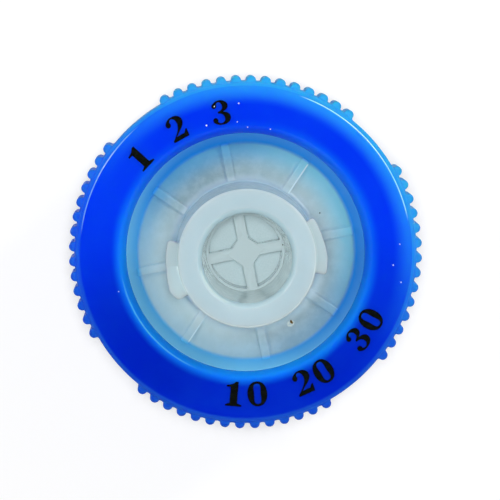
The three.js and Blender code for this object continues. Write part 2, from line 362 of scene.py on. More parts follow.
# %% Inlet shell
SOCKET_MOUTH = 2.15 * MM
SOCKET_CHAMFER = 0.24 * MM
LUER_TAPER = 0.03
socket_foot_radius = SOCKET_MOUTH - LUER_TAPER * (HUB_TOP - SOCKET_FOOT)
PORT_RADIUS = socket_foot_radius - 0.11 * MM
PORT_DRAFT = 0.06 * MM
SHARP = 0.02 * MM
RIM_ROUND = 0.04 * MM
CRISP = 0.05 * MM
DISH_ROUND = 0.1 * MM
HUB_FOOT_ROUND = 0.3 * MM
HUB_ROUND = 0.12 * MM
MOUTH_ROUND = 0.1 * MM
inlet_shell = turned([
    (PORT_RADIUS - PORT_DRAFT, CHAMBER_CEILING, 0),
    (CHAMBER_RADIUS, CHAMBER_CEILING, CRISP),
    (CHAMBER_RADIUS, CLAMP_FACE + BOND_GAP, 0),
    (FLANGE_RADIUS, CLAMP_FACE + BOND_GAP, 0),
    (FLANGE_RADIUS, CLAMP_FACE + FLANGE, CRISP),
    (RIM_OUTER, CLAMP_FACE + FLANGE, 0),
    (RIM_OUTER, UPPER_RIM, RIM_ROUND),
    (RIM_EDGE, UPPER_RIM, CRISP),
    (DISH_RADIUS, INLET_FLOOR, DISH_ROUND),
    (HUB_FOOT_RADIUS, INLET_FLOOR, HUB_FOOT_ROUND),
    (HUB_RADIUS, HUB_TOP, HUB_ROUND),
    (SOCKET_MOUTH + SOCKET_CHAMFER, HUB_TOP, CRISP),
    (SOCKET_MOUTH, HUB_TOP - SOCKET_CHAMFER, MOUTH_ROUND),
    (socket_foot_radius, SOCKET_FOOT, SHARP),
    (PORT_RADIUS, SOCKET_FOOT, SHARP),
], SHELL_STEPS)
print(f"inlet shell: {len(inlet_shell.faces)} faces, port radius {PORT_RADIUS / MM:.2f} mm")

# %% [markdown]
# ## Thread lugs
#
# A luer lock needs only a stub of thread on each side. A real thread is a section swept up a
# helix, and the spin operator does just that when each step also climbs a little. Both ends
# then drop steeply to the hub wall. The two crests came out of the mould a little different:
# one thins towards its upper end, the other swells there and has its corner cut.

# %% Thread lugs
LUG_LEAD = 5 * MM
LUG_ARC = math.radians(46)
LUG_STEPS = 36
LUG_END = 0.03
LUG_ROOT_WIDTH = 1.15 * MM
LUG_CREST_WIDTH = 0.4 * MM
LUG_DROP = 0.12 * MM
CREST_ROUND = 0.09 * MM
LUG_TURN = math.radians(-1.5)
lug_rise = LUG_LEAD * LUG_ARC / math.tau
lug_start = HUB_TOP - LUG_DROP - LUG_ROOT_WIDTH / 2 - lug_rise
lug_heart = (SOCKET_MOUTH + HUB_RADIUS) / 2
lug_sunk = HUB_RADIUS - BITE
THIN_CREST = [(0, 0.55 * MM), (0.3, 0.53 * MM), (0.6, 0.42 * MM), (1, 0.38 * MM)]
SWELLING_CREST = [(0, 0.54 * MM), (0.5, 0.58 * MM), (0.82, 0.7 * MM), (1, 0.5 * MM)]


def crest_height(crest, along):
    """How far the crest stands out of the hub, from the stations on either side."""
    along = min(max(along, 0), 1)
    for (start, low), (end, high) in zip(crest, crest[1:]):
        if along <= end:
            return low + (high - low) * (along - start) / (end - start)


def lug(middle, crest):
    mesh = bmesh.new()
    full = HUB_RADIUS + crest[0][1]
    half_root, half_crest = LUG_ROOT_WIDTH / 2, LUG_CREST_WIDTH / 2
    draw_section(mesh, [
        (lug_heart, lug_start - half_root, 0),
        (HUB_RADIUS, lug_start - half_root, 0),
        (full, lug_start - half_crest, CREST_ROUND),
        (full, lug_start + half_crest, CREST_ROUND),
        (HUB_RADIUS, lug_start + half_root, 0),
        (lug_heart, lug_start + half_root, 0),
    ])
    rotated(mesh, -LUG_ARC / 2)
    bmesh.ops.spin(
        mesh, geom=mesh.verts[:] + mesh.edges[:], **AXIS, dvec=(0, 0, lug_rise / LUG_STEPS),
        angle=LUG_ARC, steps=LUG_STEPS, use_merge=False, use_duplicate=False,
    )
    bmesh.ops.holes_fill(mesh, edges=mesh.edges, sides=0)
    bmesh.ops.recalc_face_normals(mesh, faces=mesh.faces)
    for vert in mesh.verts:
        along = math.atan2(vert.co.y, vert.co.x) / LUG_ARC + 0.5
        fade = min(1, max(0, along / LUG_END), max(0, (1 - along) / LUG_END))
        reach = HUB_RADIUS + crest_height(crest, along) - lug_sunk
        radius = vert.co.xy.length
        if radius > lug_sunk:
            grown = lug_sunk + (radius - lug_sunk) * fade * reach / (full - lug_sunk)
            vert.co.xy *= grown / radius
    rotated(mesh, middle)
    return mesh


lugs = [lug(LUG_TURN, THIN_CREST), lug(LUG_TURN + math.pi, SWELLING_CREST)]
print(f"each lug climbs {lug_rise / MM:.2f} mm over {math.degrees(LUG_ARC):.0f} degrees")

# %% [markdown]
# ## Flow spreader and ribs
#
# At the foot of the socket a small square plate on four arms stops the liquid from jetting
# straight at the membrane. It is drawn from rounded blocks, like the eight dish ribs. Plate
# and arms widen a little downwards, as moulded walls do, so that they leave the mould freely.

# %% Inlet housing, fused
SPREADER = 1.6 * MM
SPREADER_DRAFT = 0.06 * MM
ARM = 0.55 * MM
PLATE = 1.3 * MM
ARM_INSET = 0.01 * MM
spreader_foot = SOCKET_FOOT - SPREADER
arm_reach = (-PORT_RADIUS - BITE, PORT_RADIUS + BITE)
arm_sides = (-ARM / 2, ARM / 2)
plate_sides = (-PLATE / 2, PLATE / 2)
arm_heights = (spreader_foot + ARM_INSET, SOCKET_FOOT - ARM_INSET)
spreader = [
    block(plate_sides, plate_sides, (spreader_foot, SOCKET_FOOT), CRISP, math.pi / 4),
    block(arm_reach, arm_sides, arm_heights, CRISP),
    block(arm_reach, arm_sides, arm_heights, CRISP, math.pi / 2),
]
for mesh in spreader:
    for vert in mesh.verts:
        if vert.co.z < SOCKET_FOOT - SPREADER / 2:
            vert.co.xy += vert.co.xy.normalized() * SPREADER_DRAFT
RIB = 0.42 * MM
RIB_RISE = 0.1 * MM
RIB_SUNK = 0.2 * MM
RIB_ROUND = 0.07 * MM
RIB_START = HUB_FOOT_RADIUS - 0.12 * MM
dish_ribs = ribs(
    RIB_START, RIM_EDGE, RIB, INLET_FLOOR - RIB_SUNK, INLET_FLOOR + RIB_RISE, RIB_ROUND,
)
inlet_housing = fused(inlet_shell, lugs + spreader + dish_ribs, "inlet_housing_moulding")
print(f"inlet housing: {len(inlet_housing.data.polygons)} faces")

# %% [markdown]
# ## The outlet housing
#
# The lower half mirrors the upper: a tapered nozzle with a straight lumen instead of the
# socket, ribs on the outside of its floor, and low ribs inside that hold the membrane off
# the drain so that filtered liquid can run to the middle.

# %% Outlet housing, fused
NOZZLE_TIP_RADIUS = 1.975 * MM
LUMEN_RADIUS = 1.05 * MM
LUMEN_ROUND = 0.08 * MM
TIP_ROUND = 0.12 * MM
NOZZLE_ROOT_ROUND = 0.5 * MM
nozzle_root = NOZZLE_TIP_RADIUS + LUER_TAPER * (OUTLET_FLOOR - NOZZLE_TIP)
outlet_shell = turned([
    (LUMEN_RADIUS, NOZZLE_TIP, LUMEN_ROUND),
    (NOZZLE_TIP_RADIUS, NOZZLE_TIP, TIP_ROUND),
    (nozzle_root, OUTLET_FLOOR, NOZZLE_ROOT_ROUND),
    (DISH_RADIUS, OUTLET_FLOOR, DISH_ROUND),
    (RIM_EDGE, LOWER_RIM, CRISP),
    (RIM_OUTER, LOWER_RIM, RIM_ROUND),
    (RIM_OUTER, CLAMP_FACE - FLANGE, 0),
    (FLANGE_RADIUS, CLAMP_FACE - FLANGE, CRISP),
    (FLANGE_RADIUS, CLAMP_FACE - BOND_GAP, 0),
    (RIM_OUTER, CLAMP_FACE - BOND_GAP, 0),
    (RIM_OUTER, DISC_FACE - BOND_GAP, 0),
    (CHAMBER_RADIUS, DISC_FACE - BOND_GAP, CRISP),
    (CHAMBER_RADIUS, DRAIN_FLOOR, CRISP),
    (LUMEN_RADIUS, DRAIN_FLOOR, LUMEN_ROUND),
], SHELL_STEPS)
BRACE_START = NOZZLE_TIP_RADIUS + 0.1 * MM
brace_ribs = ribs(
    BRACE_START, RIM_EDGE, RIB, OUTLET_FLOOR - RIB_RISE, OUTLET_FLOOR + RIB_SUNK, RIB_ROUND,
)
DRAIN_RIB = 0.45 * MM
DRAIN_START = LUMEN_RADIUS + 0.5 * MM
DRAIN_RIB_TOP = DISC_FACE - 0.03 * MM
drain_ribs = ribs(
    DRAIN_START, CHAMBER_RADIUS + BITE, DRAIN_RIB, DRAIN_FLOOR - BITE, DRAIN_RIB_TOP, CRISP,
)
outlet_housing = fused(outlet_shell, brace_ribs + drain_ribs, "outlet_housing_moulding")
print(f"outlet housing: {len(outlet_housing.data.polygons)} faces")

# %% [markdown]
# ## The membrane
#
# A disc of porous sheet, a fifth of a millimetre thick, punched from a roll. Its cut edge is
# a little soft, so the disc is a filled circle, extruded, with its two rims rounded.

# %% Membrane disc
DISC_GAP = 0.01 * MM
DISC_STEPS = 120
DISC_ROUND = 0.03 * MM
DISC_ROUND_STEPS = 2
disc_edge = DISC_RADIUS - 2 * DISC_GAP
disc_rise = CLAMP_FACE - DISC_FACE - 2 * DISC_GAP
disc_mesh = bmesh.new()
bmesh.ops.create_circle(disc_mesh, cap_ends=True, radius=disc_edge, segments=DISC_STEPS)
bmesh.ops.translate(disc_mesh, verts=disc_mesh.verts, vec=(0, 0, DISC_FACE + DISC_GAP))
lifted = bmesh.ops.extrude_face_region(disc_mesh, geom=disc_mesh.faces[:])
top_verts = [item for item in lifted["geom"] if isinstance(item, bmesh.types.BMVert)]
bmesh.ops.translate(disc_mesh, verts=top_verts, vec=(0, 0, disc_rise))
bmesh.ops.recalc_face_normals(disc_mesh, faces=disc_mesh.faces)
rims = [
    edge for edge in disc_mesh.edges
    if abs(edge.verts[0].co.z - edge.verts[1].co.z) < HAIR
]
rounded(disc_mesh, rims, DISC_ROUND, DISC_ROUND_STEPS)
membrane = to_object(disc_mesh, "membrane_sheet")
print(f"membrane {membrane.dimensions.x / MM:.2f} mm across and", end=" ")
print(f"{membrane.dimensions.z / MM:.2f} mm thick")

# %% [markdown]
# ## Printed numbers
#
# The ring's face is pad printed with plain numbers in a heavy book face: one row counts in
# ones and the other in tens. Each character is a flat filled curve that is cut to the
# thickness of the ink and set round the ring on its own radius. The outlines are written in
# ems, one em being the height of a numeral: letters mark a corner with "V" and a smooth
# point with "A", and Blender's automatic handles draw the curve between them.

# %% Outlines of the numerals
def oval(x_radius, y_radius):
    corners = [(x_radius, 0), (0, y_radius), (-x_radius, 0), (0, -y_radius)]
    return [(x, y + 0.5, "A") for x, y in corners]


ONE = [
    (-0.27, 0.0, "V"), (0.28, 0.0, "V"), (0.28, 0.06, "V"), (0.13, 0.12, "V"), (0.13, 1.0, "V"),
    (0.05, 1.0, "V"), (-0.07, 0.9, "A"), (-0.26, 0.84, "V"), (-0.26, 0.78, "V"),
    (-0.12, 0.78, "V"), (-0.12, 0.12, "V"), (-0.27, 0.06, "V"),
]
TWO = [
    (-0.28, 0.72, "A"), (-0.2, 0.91, "A"), (0.01, 1.0, "A"), (0.23, 0.91, "A"), (0.3, 0.71, "A"),
    (0.22, 0.5, "A"), (0.03, 0.32, "A"), (-0.12, 0.18, "V"), (0.16, 0.18, "V"), (0.25, 0.31, "V"),
    (0.3, 0.31, "V"), (0.27, 0.0, "V"), (-0.29, 0.0, "V"), (-0.29, 0.07, "V"), (-0.08, 0.29, "A"),
    (0.06, 0.52, "A"), (0.09, 0.73, "A"), (0.04, 0.88, "A"), (-0.04, 0.93, "A"), (-0.12, 0.85, "A"),
    (-0.11, 0.74, "A"), (-0.19, 0.64, "A"),
]
THREE = [
    (-0.27, 0.77, "A"), (-0.19, 0.92, "A"), (0.0, 1.0, "A"), (0.2, 0.92, "A"), (0.27, 0.75, "A"),
    (0.21, 0.61, "A"), (0.09, 0.53, "V"), (0.25, 0.43, "A"), (0.31, 0.27, "A"), (0.23, 0.08, "A"),
    (0.0, 0.0, "A"), (-0.21, 0.07, "A"), (-0.29, 0.21, "A"), (-0.21, 0.31, "A"), (-0.12, 0.23, "A"),
    (-0.12, 0.12, "A"), (-0.02, 0.07, "A"), (0.08, 0.13, "A"), (0.11, 0.27, "A"), (0.05, 0.42, "A"),
    (-0.09, 0.48, "V"), (-0.09, 0.54, "V"), (0.04, 0.61, "A"), (0.08, 0.75, "A"), (0.04, 0.88, "A"),
    (-0.03, 0.93, "A"), (-0.11, 0.87, "A"), (-0.11, 0.78, "A"), (-0.19, 0.69, "A"),
]
GLYPHS = {
    "0": [oval(0.33, 0.51), oval(0.11, 0.42)],
    "1": [ONE],
    "2": [TWO],
    "3": [THREE],
}
print("numerals drawn:", " ".join(sorted(GLYPHS)))

# %% Ink from outlines
INK = 0.014 * MM
BOLD = 1.22
CURVE_STEPS = 6
HANDLES = {"A": "AUTO", "V": "VECTOR"}
PRINT_RADIUS = 6.95 * MM
NUMERAL = 1.2 * MM
SPACING = math.radians(9.5)
ONES_MIDDLE = math.radians(108)
TENS_MIDDLE = math.radians(287.4)


def glyph_mesh(outlines):
    curve = bpy.data.curves.new("glyph", "CURVE")
    curve.dimensions = "2D"
    curve.fill_mode = "BOTH"
    curve.extrude = 0.5
    curve.resolution_u = curve.render_resolution_u = CURVE_STEPS
    for outline in outlines:
        spline = curve.splines.new("BEZIER")
        spline.bezier_points.add(len(outline) - 1)
        spline.use_cyclic_u = True
        for point, (x, y, kind) in zip(spline.bezier_points, outline):
            point.co = (x, y, 0)
            point.handle_left_type = point.handle_right_type = HANDLES[kind]
    holder = bpy.data.objects.new("glyph", curve)
    scene.collection.objects.link(holder)
    bpy.context.view_layer.update()
    depsgraph = bpy.context.evaluated_depsgraph_get()
    flat = bpy.data.meshes.new_from_object(holder.evaluated_get(depsgraph))
    bpy.data.objects.remove(holder)
    return flat


def print_round(lettering, middle, outward, name):
    """Sets characters round the ring's face; outward says that their tops point outwards."""
    printed = bmesh.new()
    turn_way = -1 if outward else 1
    for index, character in enumerate(lettering):
        if character == " ":
            continue
        flat = glyph_mesh(GLYPHS[character])
        place = middle + turn_way * SPACING * (index - (len(lettering) - 1) / 2)
        upright = place - math.pi / 2 if outward else place + math.pi / 2
        size = Matrix.Diagonal((NUMERAL * BOLD, NUMERAL, INK, 1))
        foot = Matrix.Translation((0, -NUMERAL / 2, 0))
        across, along = PRINT_RADIUS * math.cos(place), PRINT_RADIUS * math.sin(place)
        spot = Matrix.Translation((across, along, RING_TOP + INK / 2))
        flat.transform(spot @ Matrix.Rotation(upright, 4, "Z") @ foot @ size)
        printed.from_mesh(flat)
        bpy.data.meshes.remove(flat)
    bmesh.ops.remove_doubles(printed, verts=printed.verts, dist=HAIR)
    bmesh.ops.recalc_face_normals(printed, faces=printed.faces)
    piece = to_object(printed, name)
    print(f"{name}: {len(piece.data.polygons)} faces of ink")
    return piece


ones_print = print_round("1 2 3", ONES_MIDDLE, outward=True, name="ones_print")
tens_print = print_round("10 20 30", TENS_MIDDLE, outward=False, name="tens_print")

# %% [markdown]
# ## Dust
#
# The filter has lain about, so a few flakes of white dust lie on the ring's face. A brown
# crumb on a dried stain and two dark crumbs have dropped inside. A flake is a many-sided
# disc with an uneven edge, and a crumb is a squashed ball with its corners pushed about,
# each from a seeded draw.

# %% Dust flakes and crumbs
DUST_SEED = 7
FLAKE_THICKNESS = 0.02 * MM
FLAKE_CORNERS = 9
FLAKE_UNEVEN = (0.6, 1.2)
CRUMB_UNEVEN = (0.8, 1.1)
CRUMB_SEAT = 0.4
chance = random.Random(DUST_SEED)


def flake(mesh, direction, radius, foot, size):
    """An uneven scrap that lies flat at this height."""
    circle = bmesh.ops.create_circle(
        mesh, cap_ends=True, radius=size / 2, segments=FLAKE_CORNERS,
    )
    disc = circle["verts"]
    for vert in disc:
        vert.co *= chance.uniform(*FLAKE_UNEVEN)
    faces = [face for face in mesh.faces if all(vert in disc for vert in face.verts)]
    lifted = bmesh.ops.extrude_face_region(mesh, geom=faces)["geom"]
    top = [item for item in lifted if isinstance(item, bmesh.types.BMVert)]
    bmesh.ops.translate(mesh, verts=top, vec=(0, 0, FLAKE_THICKNESS))
    spot = (radius * math.cos(direction), radius * math.sin(direction), foot)
    bmesh.ops.translate(mesh, verts=disc + top, vec=spot)


def crumb(mesh, direction, radius, foot, length, width, height):
    """A grain that lies on a floor at this height, its long way pointing outwards."""
    ball = bmesh.ops.create_icosphere(mesh, subdivisions=2, radius=0.5)["verts"]
    for vert in ball:
        vert.co *= chance.uniform(*CRUMB_UNEVEN)
    spot = Matrix.Translation((radius, 0, foot + height * CRUMB_SEAT))
    size = Matrix.Diagonal((length, width, height, 1))
    turn = Matrix.Rotation(direction, 4, "Z")
    bmesh.ops.transform(mesh, verts=ball, matrix=turn @ spot @ size)


# Each flake is written as its direction in degrees, and its radius and size in millimetres.
FLAKES = [
    (96, 6.5, 0.11), (91, 7.3, 0.07), (81.5, 7.3, 0.09), (82.5, 6.4, 0.07), (78, 6.13, 0.06),
    (67.5, 6.15, 0.06), (186, 6.5, 0.06), (344, 7.25, 0.08), (338, 7.75, 0.07), (352, 7.55, 0.07),
]
dust_mesh = bmesh.new()
for direction, radius, size in FLAKES:
    flake(dust_mesh, math.radians(direction), radius * MM, RING_TOP, size * MM)
bmesh.ops.recalc_face_normals(dust_mesh, faces=dust_mesh.faces)
dust_flakes = to_object(dust_mesh, "dust_flakes")
stain_mesh = bmesh.new()
flake(stain_mesh, math.radians(291), 4.22 * MM, INLET_FLOOR, 0.36 * MM)
bmesh.ops.recalc_face_normals(stain_mesh, faces=stain_mesh.faces)
dry_stain = to_object(stain_mesh, "dry_stain")
brown_mesh = bmesh.new()
crumb(brown_mesh, math.radians(292), 4.16 * MM, INLET_FLOOR, 0.24 * MM, 0.15 * MM, 0.1 * MM)
brown_crumb = to_object(brown_mesh, "brown_crumb")
dark_mesh = bmesh.new()
crumb(dark_mesh, math.radians(16), 4.12 * MM, INLET_FLOOR, 0.08 * MM, 0.06 * MM, 0.05 * MM)
crumb(dark_mesh, 0, PORT_RADIUS + 0.06 * MM, SOCKET_FOOT, 0.06 * MM, 0.08 * MM, 0.05 * MM)
dark_crumbs = to_object(dark_mesh, "dark_crumbs")
print(f"{len(FLAKES)} flakes of dust and three crumbs")

# %% [markdown]
# ## Camera
#
# The filter is seen straight down its axis, as a catalogue shows a round part, from far
# enough away that the tall hub hardly spreads. The camera leans two degrees, and it is
# rolled so that the thread lugs lie eleven degrees off level.

# %% Camera
ring_centre = Vector((0, 0, RING_TOP))
DISTANCE = 0.3
ROLL = math.radians(-11.1)
LEAN_UP = math.radians(2.2)
LEAN_LEFT = math.radians(0.6)
AIM_RIGHT = 0.215 * MM
AIM_UP = 0.12 * MM
FIELD = 24.45 * MM
SENSOR = 36
picture_right = Vector((math.cos(ROLL), math.sin(ROLL), 0))
picture_up = Vector((-math.sin(ROLL), math.cos(ROLL), 0))
look_from = ring_centre + DISTANCE * (
    Vector((0, 0, 1)) + math.tan(LEAN_UP) * picture_up - math.tan(LEAN_LEFT) * picture_right
)
look_at = ring_centre + AIM_RIGHT * picture_right + AIM_UP * picture_up
back = (look_from - look_at).normalized()
right = picture_up.cross(back).normalized()
up = back.cross(right)
camera = bpy.data.objects.new("camera", bpy.data.cameras.new("camera"))
scene.collection.objects.link(camera)
camera_axes = Matrix((right, up, back)).transposed().to_4x4()
camera.matrix_world = Matrix.Translation(look_from) @ camera_axes
camera.data.sensor_width = SENSOR
camera.data.lens = SENSOR * (look_from - look_at).length / FIELD
camera.data.clip_start = 0.01
camera.data.clip_end = 10
scene.camera = camera
print(f"camera {DISTANCE / MM:.0f} mm above the ring, lens {camera.data.lens:.0f} mm")

# %% [markdown]
# ## Node helpers
#
# A finish is a small network of nodes. Most steps are the same few sums: mix two colours by
# a share, turn one span of values into another, or multiply two shares so that both must
# hold. These helpers make one node each, so that a finish below reads like a recipe.

# %% Node helpers
RANGE_ENDS = ("From Min", "From Max", "To Min", "To Max")
GRAIN_SPAN = (0.3, 0.7)


def node_tree(holder):
    holder.use_nodes = True
    holder.node_tree.nodes.clear()
    return holder.node_tree


def put(values, node):
    """Links each input that is given as a socket, and writes the numbers and colours."""
    for name, value in values.items():
        socket = node.inputs[name]
        if isinstance(value, bpy.types.NodeSocket):
            node.id_data.links.new(value, socket)
        else:
            socket.default_value = (*value, 1) if socket.type == "RGBA" else value


def made(tree, kind, values, **settings):
    """A new node of this kind, with its settings and its inputs."""
    node = tree.nodes.new("ShaderNode" + kind)
    for name, value in settings.items():
        setattr(node, name, value)
    put(values, node)
    return node


def calculated(operation, first, second):
    known = second if isinstance(first, (int, float)) else first
    return made(known.id_data, "Math", {0: first, 1: second}, operation=operation).outputs[0]


def plus(first, second):
    return calculated("ADD", first, second)


def minus(first, second):
    return calculated("SUBTRACT", first, second)


def times(first, second):
    return calculated("MULTIPLY", first, second)


def larger(first, second):
    return calculated("MAXIMUM", first, second)


def ranged(value, span, result=(0.0, 1.0), kind="SMOOTHSTEP"):
    """Turns one span of values into another, and stays level beyond its ends."""
    values = dict(zip(RANGE_ENDS, (*span, *result)), Value=value)
    return made(value.id_data, "MapRange", values, interpolation_type=kind).outputs["Result"]


def band(value, span, soft):
    """1 inside the span, and 0 a soft step outside it."""
    low, high = span
    return times(ranged(value, (low - soft, low)), ranged(value, (high + soft, high)))


def blended(share, first, second):
    """Mixes two colours. A mix node's colour sockets follow those for numbers and vectors."""
    mix = made(share.id_data, "Mix", {0: share, 6: first, 7: second}, data_type="RGBA")
    return mix.outputs[2]


def layered(colour, *layers):
    """Lays colours over one another, each given with its share."""
    for share, over in layers:
        colour = blended(share, colour, over)
    return colour


# %% Helpers for a finish
def material(name):
    finish = bpy.data.materials.new(name)
    tree = node_tree(finish)
    surface = made(tree, "BsdfPrincipled", {})
    made(tree, "OutputMaterial", {"Surface": surface.outputs["BSDF"]})
    return finish, surface, made(tree, "TexCoord", {}).outputs["Object"]


def grain(place, scale, detail=3, roughness=0.5):
    """Noise over the piece; the scale is in patches to the millimetre."""
    values = {"Scale": scale / MM, "Detail": detail, "Roughness": roughness, "Vector": place}
    return made(place.id_data, "TexNoise", values).outputs["Fac"]


def mottled(place, scale, result=(0.0, 1.0), detail=3, span=GRAIN_SPAN):
    """Noise stretched over its result, because it seldom leaves its middle values."""
    return ranged(grain(place, scale, detail), span, result)


def relief(height, depth):
    values = {"Strength": 1.0, "Distance": depth, "Height": height}
    return made(height.id_data, "Bump", values).outputs["Normal"]


def finish_piece(piece, finish):
    piece.data.materials.clear()
    piece.data.materials.append(finish)
    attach(piece, "root")


def round_place(place):
    """Radius, height and direction from the axis, for finishes that follow a round piece."""
    tree = place.id_data
    split = made(tree, "SeparateXYZ", {0: place}).outputs
    flat = made(tree, "CombineXYZ", {"X": split["X"], "Y": split["Y"]}).outputs[0]
    length = made(tree, "VectorMath", {0: flat}, operation="LENGTH")
    direction = made(tree, "VectorMath", {0: flat}, operation="NORMALIZE")
    return length.outputs["Value"], split["Z"], direction.outputs["Vector"]


def along(vector, azimuth):
    """How far a vector reaches towards this azimuth, in degrees."""
    turn = math.radians(azimuth)
    values = {0: vector, 1: (math.cos(turn), math.sin(turn), 0)}
    return made(vector.id_data, "VectorMath", values, operation="DOT_PRODUCT").outputs["Value"]


def side(direction, facing):
    """A share that changes across a round piece, towards the side that it faces.

    Facing holds an azimuth in degrees, the two cosines of the angle from it between which
    the share changes, and the share at each of the two.
    """
    azimuth, cosines, shares = facing
    return ranged(along(direction, azimuth), cosines, shares)


# %% [markdown]
# ## Floor, surroundings and lamps
#
# The filter stands on its nozzle on a pale sheet. The sheet keeps the object's soft shadow,
# and glows only for rays from the camera, mirrors and clear plastic, so it reads as white
# without lighting the object. The surroundings are a pale tent. Glossy faces see a dark
# opening in it straight above, where a camera would stand, so they keep their colour. The
# main lamp is small and shares the camera's line, so its light reaches the socket's foot.

# %% Floor
FLOOR_HALF = 1.5
PAPER_GREY = (0.62, 0.62, 0.62)
PAPER_GLOW = 0.45
floor_mesh = bmesh.new()
bmesh.ops.create_grid(floor_mesh, x_segments=1, y_segments=1, size=FLOOR_HALF)
floor = to_object(floor_mesh, "floor")


def ray_share(tree, *kinds):
    """1 for rays of these kinds, such as rays from the camera, and 0 for all others."""
    path = made(tree, "LightPath", {}).outputs
    share = path[kinds[0]]
    for kind in kinds[1:]:
        share = larger(share, path[kind])
    return share


paper = bpy.data.materials.new("white_paper")
tree = node_tree(paper)
eye_rays = ray_share(tree, "Is Camera Ray", "Is Glossy Ray", "Is Transmission Ray")
matt = made(tree, "BsdfDiffuse", {"Color": PAPER_GREY})
glow = made(tree, "Emission", {"Strength": times(eye_rays, PAPER_GLOW)})
both = made(tree, "AddShader", {0: matt.outputs[0], 1: glow.outputs[0]})
made(tree, "OutputMaterial", {"Surface": both.outputs[0]})
floor.data.materials.append(paper)
print("floor: white paper sheet at the nozzle's tip")

# %% Surroundings
TENT_LIGHT = 0.3
TENT_SHINE = 0.45
OPENING_CLIMB = (0.82, 0.35)
world = bpy.data.worlds.new("tent")
scene.world = world
tree = node_tree(world)
where = made(tree, "TexCoord", {}).outputs["Generated"]
climb = made(tree, "SeparateXYZ", {0: where}).outputs["Z"]
shine = ranged(climb, OPENING_CLIMB, (0, TENT_SHINE))
glossy_rays = ray_share(tree, "Is Glossy Ray")
tent = made(tree, "Mix", {"A": TENT_LIGHT, "B": shine, "Factor": glossy_rays})
plain_white = ray_share(tree, "Is Camera Ray", "Is Transmission Ray")
level = larger(tent.outputs["Result"], plain_white)
sky = made(tree, "Background", {"Strength": level})
made(tree, "OutputWorld", {"Surface": sky.outputs[0]})
print("surroundings: pale tent with a dark opening above")

# %% Lamps
LAMP_REACH = 0.35
LAMP_CLIMB = math.radians(48)
KEY_AZIMUTH = math.radians(30)
SIDE_AZIMUTH = math.radians(139)


def lamp(name, azimuth, climb, power, size):
    """A soft square lamp that faces the ring from this direction."""
    data = bpy.data.lights.new(name, "AREA")
    data.energy = power
    data.size = size
    piece = bpy.data.objects.new(name, data)
    scene.collection.objects.link(piece)
    level_out = math.cos(climb)
    towards = Vector((
        level_out * math.cos(azimuth), level_out * math.sin(azimuth), math.sin(climb),
    ))
    piece.location = ring_centre + LAMP_REACH * towards
    piece.rotation_euler = towards.to_track_quat("Z", "Y").to_euler()
    print(f"{name}: {power} W from {math.degrees(azimuth):.0f} degrees round")
    return piece


lamp("key_lamp", KEY_AZIMUTH, LAMP_CLIMB, power=0.24, size=0.08)
lamp("side_lamp", SIDE_AZIMUTH, LAMP_CLIMB, power=0.12, size=0.06)
to_camera = (look_from - ring_centre).normalized()
camera_azimuth = math.atan2(to_camera.y, to_camera.x)
overhead = lamp(
    "overhead_lamp", camera_azimuth, math.asin(to_camera.z), power=0.74, size=0.03,
)
overhead.visible_glossy = False
overhead.visible_transmission = False

# %% [markdown]
# ## Blue plastic
#
# The ring is dyed polypropylene: deep blue where it is thick, paler where light can come
# through a thin edge. Subsurface scattering carries light in at the shoulder and out of the
# face beside it. Light and shade are also painted into the colour: the face is painted lighter
# on the side that faces the lamps and darker on the other, the shoulder, the bumps and the lip
# carry a painted glow, strongest where they face the lamps, the bumps and the lip are also a
# little paler all round for their thin plastic, and thin pale lines on the shoulder's edge and
# the lip are painted highlights.

# %% Blue body, shoulder and bumps
SHADED_SIDE_BLUE = (0.0004, 0.021, 0.6)
LIT_SIDE_BLUE = (0.0006, 0.043, 0.87)
EDGE_GLOW_AND_FLOW_BLUE = (0.03, 0.42, 0.96)
BLUE_LIT_SIDE = (74, (-0.95, 0.4), (0, 1))
SHOULDER_GLOW_SIDE = (51, (-0.2, 1.15), (0, 0.75))
BUMP_GLOW_SIDE = (51, (-0.3, 1), (0.2, 1))
SHOULDER_RADII = (7.2 * MM, 8.1 * MM)
BUMP_RADII = (8.05 * MM, 8.2 * MM)
FLOW_MARKS = 0.35
FLOW_SHARE = (0.0, 0.03)
blue, surface, place = material("blue_plastic")
radius, height, direction = round_place(place)
# Painted light and shade: the face's blue runs from a darker copy on one side of the ring to a
# lighter copy on the side that faces the lamps.
deep = blended(side(direction, BLUE_LIT_SIDE), SHADED_SIDE_BLUE, LIT_SIDE_BLUE)
# Painted glow: the shoulder is paler only on the side that faces the lamps; the bumps are a little
# paler all round for their thin plastic and much more on that side. Moulding flow marks add to the
# same pale share.
shoulder_glow = times(ranged(radius, SHOULDER_RADII), side(direction, SHOULDER_GLOW_SIDE))
bumps = times(ranged(radius, BUMP_RADII), side(direction, BUMP_GLOW_SIDE))
edge = plus(larger(shoulder_glow, bumps), mottled(place, FLOW_MARKS, FLOW_SHARE))

# %% Blue painted highlights and lip glow
SHOULDER_HIGHLIGHT_BLUE = (0.4, 0.85, 1.0)
RIDGE_RADII = (8.085 * MM, 8.11 * MM)
RIDGE_SOFT = 0.025 * MM
LONG_RIDGE_SIDE = (30, (0.86, 0.91), (0, 1))
SHORT_RIDGE_SIDE = (141, (0.92, 0.97), (0, 0.45))
LIP_GLOW_BLUE = (0.006, 0.27, 1.0)
LIP_RADII = (6.65 * MM, 6.0 * MM)
LIP_GLOW_SIDE = (244, (-0.9, 0.5), (0.15, 1))
LIT_LIP_SIDE = (19, (0.5, 1), (0, 0.5))
LIP_HIGHLIGHT_BLUE = (0.09, 0.5, 1.0)
LIP_LINE_RADII = (6.15 * MM, 6.17 * MM)
LIP_LINE_SOFT = 0.04 * MM
LIP_LINE_SIDE = (208, (0.86, 0.98), (0, 1))
